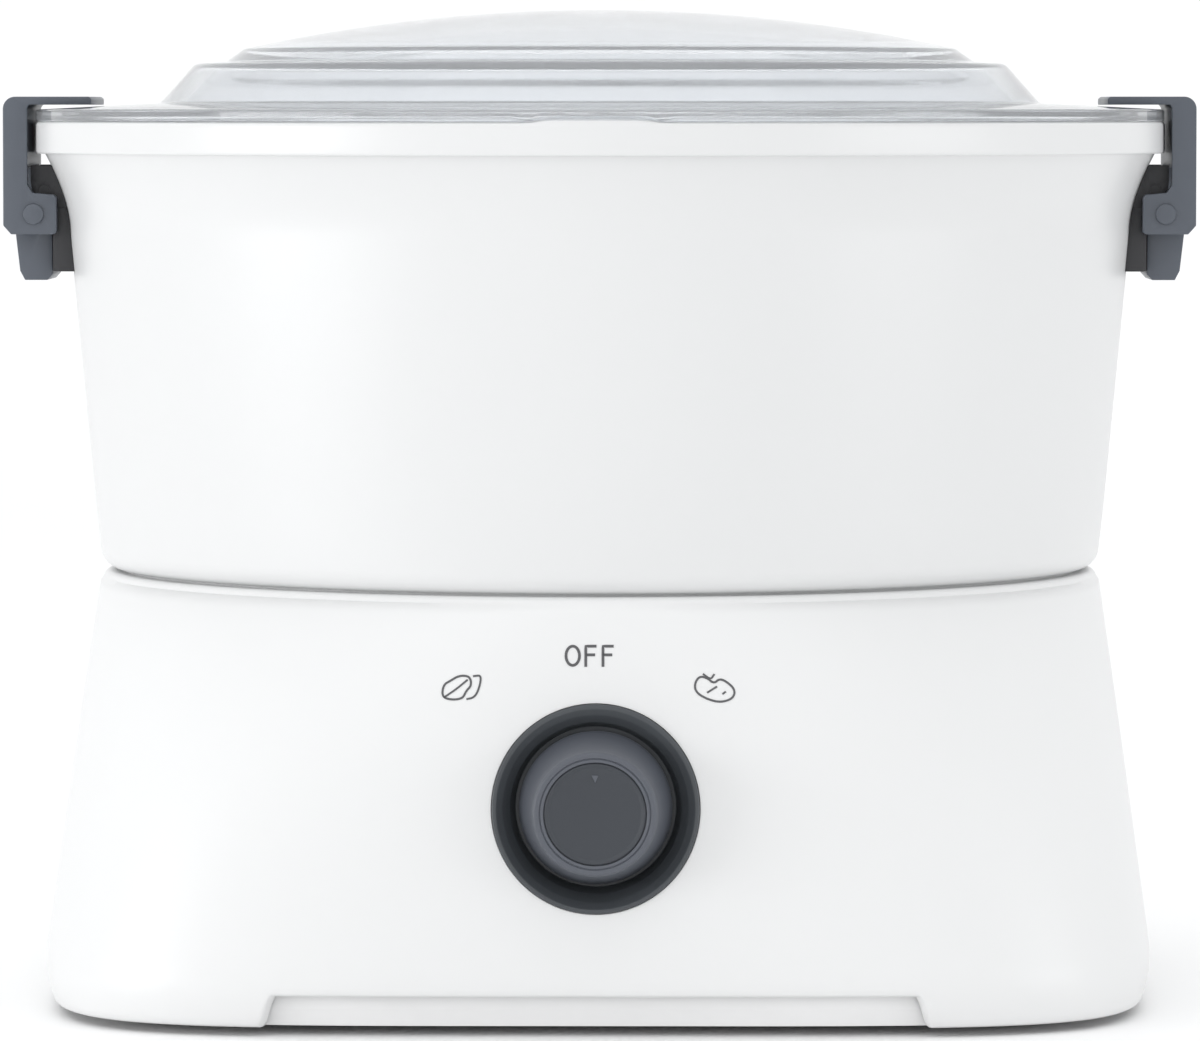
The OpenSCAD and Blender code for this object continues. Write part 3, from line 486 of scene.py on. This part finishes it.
def tub_wall_r(z):
    """Outer radius of the tub: a plain taper that flares under the rim."""
    if z < FLARE_Z:
        return WAIST_R + TUB_LEAN * (z - SEAM_Z)
    t = (z - FLARE_Z) / (RIM_Z - RIM_H - FLARE_Z)
    return WAIST_R + TUB_LEAN * (FLARE_Z - SEAM_Z) + 5.6 * max(0.0, t) ** 1.7


def build_tub():
    """Bowl with a floor, a rim band, and a chimney round the shaft."""
    floor_top = TUB_FLOOR_Z + WALL
    flare = [FLARE_Z + (RIM_Z - RIM_H - FLARE_Z) * k / 14 for k in range(0, 15)]
    foot = [(TUB_FOOT_R - 3.4 + 4.6 * math.cos(t), SEAM_Z + 5 + 4.6 * math.sin(t))
            for t in [math.radians(a) for a in range(-75, 1, 15)]]
    low, mid = SEAM_Z + 14, SEAM_Z + 45     # two heights that guide the plain wall
    outline = [(TUB_FOOT_R - 5, SEAM_Z), (TUB_FOOT_R - 3.6, SEAM_Z), (TUB_FOOT_R - 3.5, SEAM_Z + 0.5)]
    outline += foot
    outline += [(tub_wall_r(low), low), (tub_wall_r(mid), mid)]
    outline += [(tub_wall_r(z), z) for z in flare[:-1]]
    rim = fillet([(tub_wall_r(flare[-1]), flare[-1] - 0.001), (RIM_R, RIM_Z - RIM_H, 0.7),
                  (RIM_R, RIM_Z, 0.9), (tub_wall_r(flare[-1]) - 4.4, RIM_Z, 0.8),
                  (tub_wall_r(flare[-1]) - 4.2, RIM_Z - RIM_H)], 5)
    outline += rim[:-1]
    outline += [(tub_wall_r(z) - WALL, z) for z in reversed(flare[:-1])]
    outline += [(tub_wall_r(mid) - WALL, mid), (tub_wall_r(low) - WALL, low)]
    outline += fillet([(tub_wall_r(SEAM_Z + 9) - WALL, SEAM_Z + 9), (TUB_FOOT_R - 2.4, floor_top, 4.0),
                       (CHIMNEY_R + WALL, floor_top, 2.0), (CHIMNEY_R + WALL, CHIMNEY_TOP, 1.0),
                       (CHIMNEY_R, CHIMNEY_TOP, 0.4), (CHIMNEY_R, TUB_FLOOR_Z, 0.3),
                       (TUB_FOOT_R - 5, TUB_FLOOR_Z)], 4)
    pad_rise = tub_high.z - RIM_Z

    def place(r, z, a):
        if z > RIM_Z - 0.5 and r > RIM_R - 6.2:
            x = abs(r * math.cos(a))
            front = math.sin(a) < 0
            z += (pad_rise - 0.05) * smooth_step((PAD_HALF - x) / PAD_RAMP) if front else 0.0
        return about_z(r, z, a)

    add_piece("tub_bowl", revolve(outline, place, 360), "tub", "tub_plastic", ("tub",), 38.0)


# ---- lid ----

def dome_z(r):
    """Height of the dome's outer face, a cap of a sphere."""
    return SHOULDER_Z + math.sqrt(DOME_RAD ** 2 - r * r) - DOME_RAD + DOME_RISE


def build_lid():
    """Dome, two steps and a flat flange, with a ring that drops inside the tub."""
    ring = tub_wall_r(RIM_Z - RIM_H) - 8.4
    outline = [(DOME_R * k / 20, dome_z(DOME_R * k / 20)) for k in range(20)]
    outline += fillet([(DOME_R * 0.97, dome_z(DOME_R * 0.97)), (DOME_R + 1.4, SHOULDER_Z - 0.3, 1.5),
                       (DOME_R + 5.6, SHOULDER_Z - 3.3, 2.2), (DOME_R + 12.6, SHOULDER_Z - 3.7, 2.4),
                       (DOME_R + 20.6, RIM_Z + 4.2, 1.6), (RIM_R - 0.1, FLANGE_Z, 0.7),
                       (RIM_R - 0.1, RIM_Z + LID_GAP, 0.4), (ring, RIM_Z + LID_GAP, 0.6),
                       (ring - 0.4, RIM_Z - 5, 0.8), (ring - 2.6, RIM_Z - 5, 0.8),
                       (ring - 2.6, RIM_Z + 1.3, 0.8), (DOME_R + 19.6, RIM_Z + 1.8, 1.6),
                       (DOME_R + 10.9, SHOULDER_Z - 6.1, 2.0), (DOME_R + 5.0, SHOULDER_Z - 5.7, 2.0),
                       (DOME_R + 0.2, SHOULDER_Z - 2.9, 2.0),
                       (DOME_R * 0.96, dome_z(DOME_R * 0.96) - LID_WALL)], 5)
    outline += [(DOME_R * k / 20, dome_z(DOME_R * k / 20) - LID_WALL) for k in range(18, -1, -1)]

    def place(r, z, a):
        if abs(z - RIM_Z) < 0.35 and r > RIM_R - 6.6 and math.sin(a) < 0:
            z += NOTCH * smooth_step((PAD_HALF + 0.5 - abs(r * math.cos(a))) / PAD_RAMP)
        return about_z(r, z, a)

    add_piece("lid_dome", revolve(outline, place, 360, closed=False), "lid", "clear_plastic",
              ("lid",), 60.0)


# ---- knob and bezel ----

def build_knob():
    """Tapered knob with a recess for the cap and a fine groove round it."""
    depth = knob_high.y + KNOB_FRONT
    outline = fillet([(0, 0), (CAP_R + 0.15, 0.9), (CAP_R + 0.15, 0, 0.25), (CAP_R + 0.75, 0, 0.2),
                      (CAP_R + 0.95, 0.35, 0.12), (CAP_R + 1.15, 0, 0.2), (KNOB_R - 3.3, 0, 1.1),
                      (KNOB_R - 2.7, 2.6, 2.0), (KNOB_R - 0.3, depth - 2.2, 1.0), (KNOB_R, depth - 1.2, 0.3),
                      (KNOB_R, depth, 0.2), (0, depth)], 6)
    outline[0] = (0, 0.9)
    bm = revolve(outline, lambda r, h, a: about_knob(r, h - KNOB_FRONT, a), 192, closed=False)
    add_piece("knob_body", bm, "dial", "knob_plastic", ("knob",), 40.0)


def build_cap():
    """The cap is slightly dished, with a small raised pointer at the top."""
    outline = fillet([(0, 0.75), (CAP_R * 0.55, 0.62), (CAP_R - 1.1, 0.42, 0.8), (CAP_R - 0.35, 0.12, 0.3),
                      (CAP_R, 0.3, 0.15), (CAP_R, 1.5), (0, 1.5)], 5)
    bm = revolve(outline, lambda r, h, a: about_knob(r, h - KNOB_FRONT, a), 160, closed=False)
    add_piece("knob_face", bm, "dial", "cap_plastic", ("knob_cap",), 40.0)
    bm = bmesh.new()
    tip = CAP_R - 4.2
    for x, z in ((-0.75, tip + 1.6), (0.75, tip + 1.6), (0.0, tip)):
        bm.verts.new((x, 0.35 - KNOB_FRONT, KNOB_Z + z))
    face = bm.faces.new(bm.verts)
    grown = bmesh.ops.extrude_face_region(bm, geom=[face])["geom"]
    for v in [g for g in grown if isinstance(g, bmesh.types.BMVert)]:
        v.co.y += 0.5
    bmesh.ops.bevel(bm, geom=bm.edges[:], offset=0.12, segments=2, profile=0.5, affect="EDGES")
    add_piece("knob_pointer", bm, "dial", "knob_plastic")


def build_bezel():
    """A dish that falls from a thin rim to the knob's foot; the rim leans with the housing."""
    foot_r = KNOB_R + 0.9
    outline = fillet([(BEZEL_R, 6.0), (BEZEL_R, -0.9, 0.7), (BEZEL_R - 1.0, -0.9, 0.6),
                      (BEZEL_R - 2.4, 0.2, 2.0), (foot_r + 1.0, 2.6, 1.6), (foot_r, 6.2, 0.3),
                      (foot_r - 1.6, 6.2), (foot_r - 1.7, 4.6), (4.6, 4.6), (4.6, 6.9), (BEZEL_R, 6.9)], 6)

    def place(r, h, a):
        p = about_knob(r, FACE_Y + h, a)
        follow = max(0.0, min(1.0, (4.6 - h) / 5.5))
        p.y += LEAN * (p.z - KNOB_Z) * follow
        return p

    add_piece("bezel_dish", revolve(outline, place, 192), "base", "bezel_plastic",
              ("knob_bezel",), 40.0)


# ---- the dial's print ----

def oval(cx, cz, rx, rz, tilt, n=28):
    t = math.radians(tilt)
    out = []
    for i in range(n):
        a = 2 * math.pi * i / n
        x, z = rx * math.cos(a), rz * math.sin(a)
        out.append((cx + x * math.cos(t) - z * math.sin(t), cz + x * math.sin(t) + z * math.cos(t)))
    return out


def rounded(points, closed=False):
    """Cuts a line's corners twice, which leaves a smooth curve."""
    for _ in range(3):
        loop = points + points[:1] if closed else points
        cut = []
        for a, b in zip(loop, loop[1:]):
            cut.append((a[0] * 0.75 + b[0] * 0.25, a[1] * 0.75 + b[1] * 0.25))
            cut.append((a[0] * 0.25 + b[0] * 0.75, a[1] * 0.25 + b[1] * 0.75))
        points = cut if closed else points[:1] + cut + points[-1:]
    return points


def ribbon(bm, points, width, closed=False):
    """A thin printed line that lies on the shell's curved front."""
    fine = []
    loop = points + points[:1] if closed else points
    for a, b in zip(loop, loop[1:]):
        count = max(1, round(math.dist(a, b) / 0.5))
        fine += [(a[0] + (b[0] - a[0]) * k / count, a[1] + (b[1] - a[1]) * k / count)
                 for k in range(count)]
    if not closed:
        fine.append(points[-1])
    n = len(fine)
    rails = []
    for i, p in enumerate(fine):
        before = fine[(i - 1) % n] if closed or i else p
        after = fine[(i + 1) % n] if closed or i < n - 1 else p
        d = Vector((after[0] - before[0], after[1] - before[1])).normalized()
        side = Vector((-d.y, d.x)) * width / 2
        cap = Vector((0, 0))
        if not closed and i in (0, n - 1):
            cap = d * (width / 2) * (1 if i else -1)
        row = []
        for s, lift in ((1, -0.05), (1, 0.1), (-1, 0.1), (-1, -0.05)):
            x, z = p[0] + s * side.x + cap.x, p[1] + s * side.y + cap.y
            row.append(bm.verts.new((x, front_y(x, z) - lift, z)))
        rails.append(row)
    for a, b in zip(rails, rails[1:] + (rails[:1] if closed else [])):
        for k in range(4):
            bm.faces.new((a[k], a[(k + 1) % 4], b[(k + 1) % 4], b[k]))
    if not closed:
        bm.faces.new(rails[0])
        bm.faces.new(rails[-1][::-1])


def build_dial_marks():
    bm = bmesh.new()
    word_z = KNOB_Z + BEZEL_R + 10.3
    side_z = KNOB_Z + BEZEL_R + 3.3
    cx = MARKS_X

    ribbon(bm, oval(cx - 3.35, word_z, 1.45, 2.05, 0), 0.6, True)
    for x in (cx - 0.55, cx + 3.15):
        ribbon(bm, [(x, word_z - 2.05), (x, word_z + 2.05), (x + 2.0, word_z + 2.05)], 0.6)
        ribbon(bm, [(x + 0.3, word_z + 0.2), (x + 1.7, word_z + 0.2)], 0.6)
    # a potato on the right, with a curl of peel at its top
    px = cx + 27.2
    skin = [(-4.4, 0.9), (-3.4, 2.6), (-1.7, 2.3), (-0.2, 1.0), (1.0, 2.1), (2.6, 1.4), (4.4, -0.3),
            (3.9, -2.2), (1.2, -3.0), (-1.6, -2.3), (-4.0, -0.9)]
    ribbon(bm, rounded([(px + x, side_z + z) for x, z in skin], True), 0.45, True)
    ribbon(bm, rounded([(px - 2.4, side_z + 3.0), (px - 0.9, side_z + 1.9), (px - 0.2, side_z + 2.9)]), 0.4)
    ribbon(bm, [(px - 1.5, side_z - 0.8), (px + 0.3, side_z + 0.3)], 0.4)
    ribbon(bm, [(px + 1.8, side_z - 1.1), (px + 2.2, side_z - 0.8)], 0.4)
    # two salad leaves on the left
    lx = cx - 27.2
    leaf = [(-4.3, -1.9), (-4.0, 0.7), (-2.4, 1.6), (-0.6, 2.7), (1.7, 2.6), (2.1, 0.6), (0.9, -0.6),
            (0.2, -2.2), (-2.2, -2.5)]
    ribbon(bm, rounded([(lx + x, side_z + z) for x, z in leaf], True), 0.45, True)
    ribbon(bm, rounded([(lx - 3.7, side_z - 1.9), (lx - 1.2, side_z - 0.2), (lx + 1.1, side_z + 1.7)]), 0.4)
    ribbon(bm, rounded([(lx + 2.6, side_z + 2.6), (lx + 4.2, side_z + 2.8), (lx + 3.8, side_z + 0.2),
                        (lx + 2.8, side_z - 1.9), (lx + 1.2, side_z - 2.3)]), 0.42)
    add_piece("dial_print", bm, "base", "print_ink", ("dial_marks",))


build_base()
build_gland_boss()
build_lugs()
build_tub()
build_lid()
build_knob()
build_cap()
build_bezel()
build_dial_marks()

# ---- CAD pieces whose shape is right: their edges are welded and rounded ----

for side in ("left_", "right_"):
    dressed(side + "hook", 0.55, 3)
    dressed(side + "lever", 0.4, 3)
    # the brackets take the near-black plastic slot, whose extra darkness is painted shade of the recess
    # behind the latch
    dressed(side + "bracket", 0.25, 2)
    dressed(side + "hook_pin", 0.18, 2)
dressed("rubber_feet", 0.5, 3)
dressed("cord_gland", 0.4, 3)
dressed("bottom_cover", 0.0)
dressed("peeling_disc", 0.3, 2)
dressed("hub_cap", 0.4, 3)
dressed("disc_blades", 0.12, 2)
dressed("wall_blades", 0.12, 2)
dressed("shaft_seal", 0.15, 2)

# ---- floor, light and camera ----

def stage_material(name, color):
    material, tree, shader = new_material(name)
    tree.links.new(ramp(tree, noise(tree, 3.0, 2.0), tint(color, 0.99), color), shader.inputs["Base Color"])
    shader.inputs["Roughness"].default_value = 0.6
    return material


def build_floor():
    """A pale sheet that curves up behind the object."""
    half, reach, rise, bend = 4.0, 3.0, 3.0, 1.2
    line = [(-3.5, 0.0), (reach - bend, 0.0)]
    line += [(reach - bend + bend * math.sin(t), bend - bend * math.cos(t))
             for t in [math.pi / 2 * k / 16 for k in range(1, 17)]]
    line.append((reach, rise))
    bm = bmesh.new()
    rails = [[bm.verts.new((x, y, z)) for x in (-half, half)] for y, z in line]
    for a, b in zip(rails, rails[1:]):
        bm.faces.new((a[0], a[1], b[1], b[0]))
    mesh = bpy.data.meshes.new("floor_sheet")
    bm.to_mesh(mesh)
    bm.free()
    for p in mesh.polygons:
        p.use_smooth = True
    floor = bpy.data.objects.new("floor_sheet", mesh)
    bpy.context.scene.collection.objects.link(floor)
    mesh.materials.append(stage_material("pale_paper", (0.97, 0.97, 0.97)))


LIT_POINT = Vector((0, 0, 0.1))           # metres, the middle of the object


def add_light(name, place, size, power):
    data = bpy.data.lights.new(name, "AREA")
    data.shape = "RECTANGLE"
    data.size, data.size_y = size
    data.energy = power
    light = bpy.data.objects.new(name, data)
    bpy.context.scene.collection.objects.link(light)
    light.location = place
    light.rotation_euler = (LIT_POINT - Vector(place)).to_track_quat("-Z", "Y").to_euler()


build_floor()
add_light("front_softbox", (-0.5, -2.4, 1.5), (2.2, 1.4), 5)
add_light("left_strip", (-1.6, -0.8, 0.25), (1.0, 0.5), 8)
add_light("right_strip", (1.6, -0.8, 0.25), (1.0, 0.5), 3.5)
add_light("top_softbox", (0.0, 0.3, 2.2), (1.8, 1.8), 6)

world = bpy.data.worlds.new("studio")
world.use_nodes = True
world.node_tree.nodes["Background"].inputs["Color"].default_value = (0.985, 0.992, 1.0, 1)
world.node_tree.nodes["Background"].inputs["Strength"].default_value = 0.98
bpy.context.scene.world = world
bpy.context.scene.view_settings.view_transform = "Standard"

camera_data = bpy.data.cameras.new("camera")
camera_data.lens = 232
camera_data.sensor_width = 36
camera_data.clip_end = 50
camera = bpy.data.objects.new("camera", camera_data)
bpy.context.scene.collection.objects.link(camera)
camera.location = (0.014, -1.774, 0.199)
aim = Vector((0.0, 0.0, 0.105))
camera.rotation_euler = (aim - camera.location).to_track_quat("-Z", "Y").to_euler()
bpy.context.scene.camera = camera
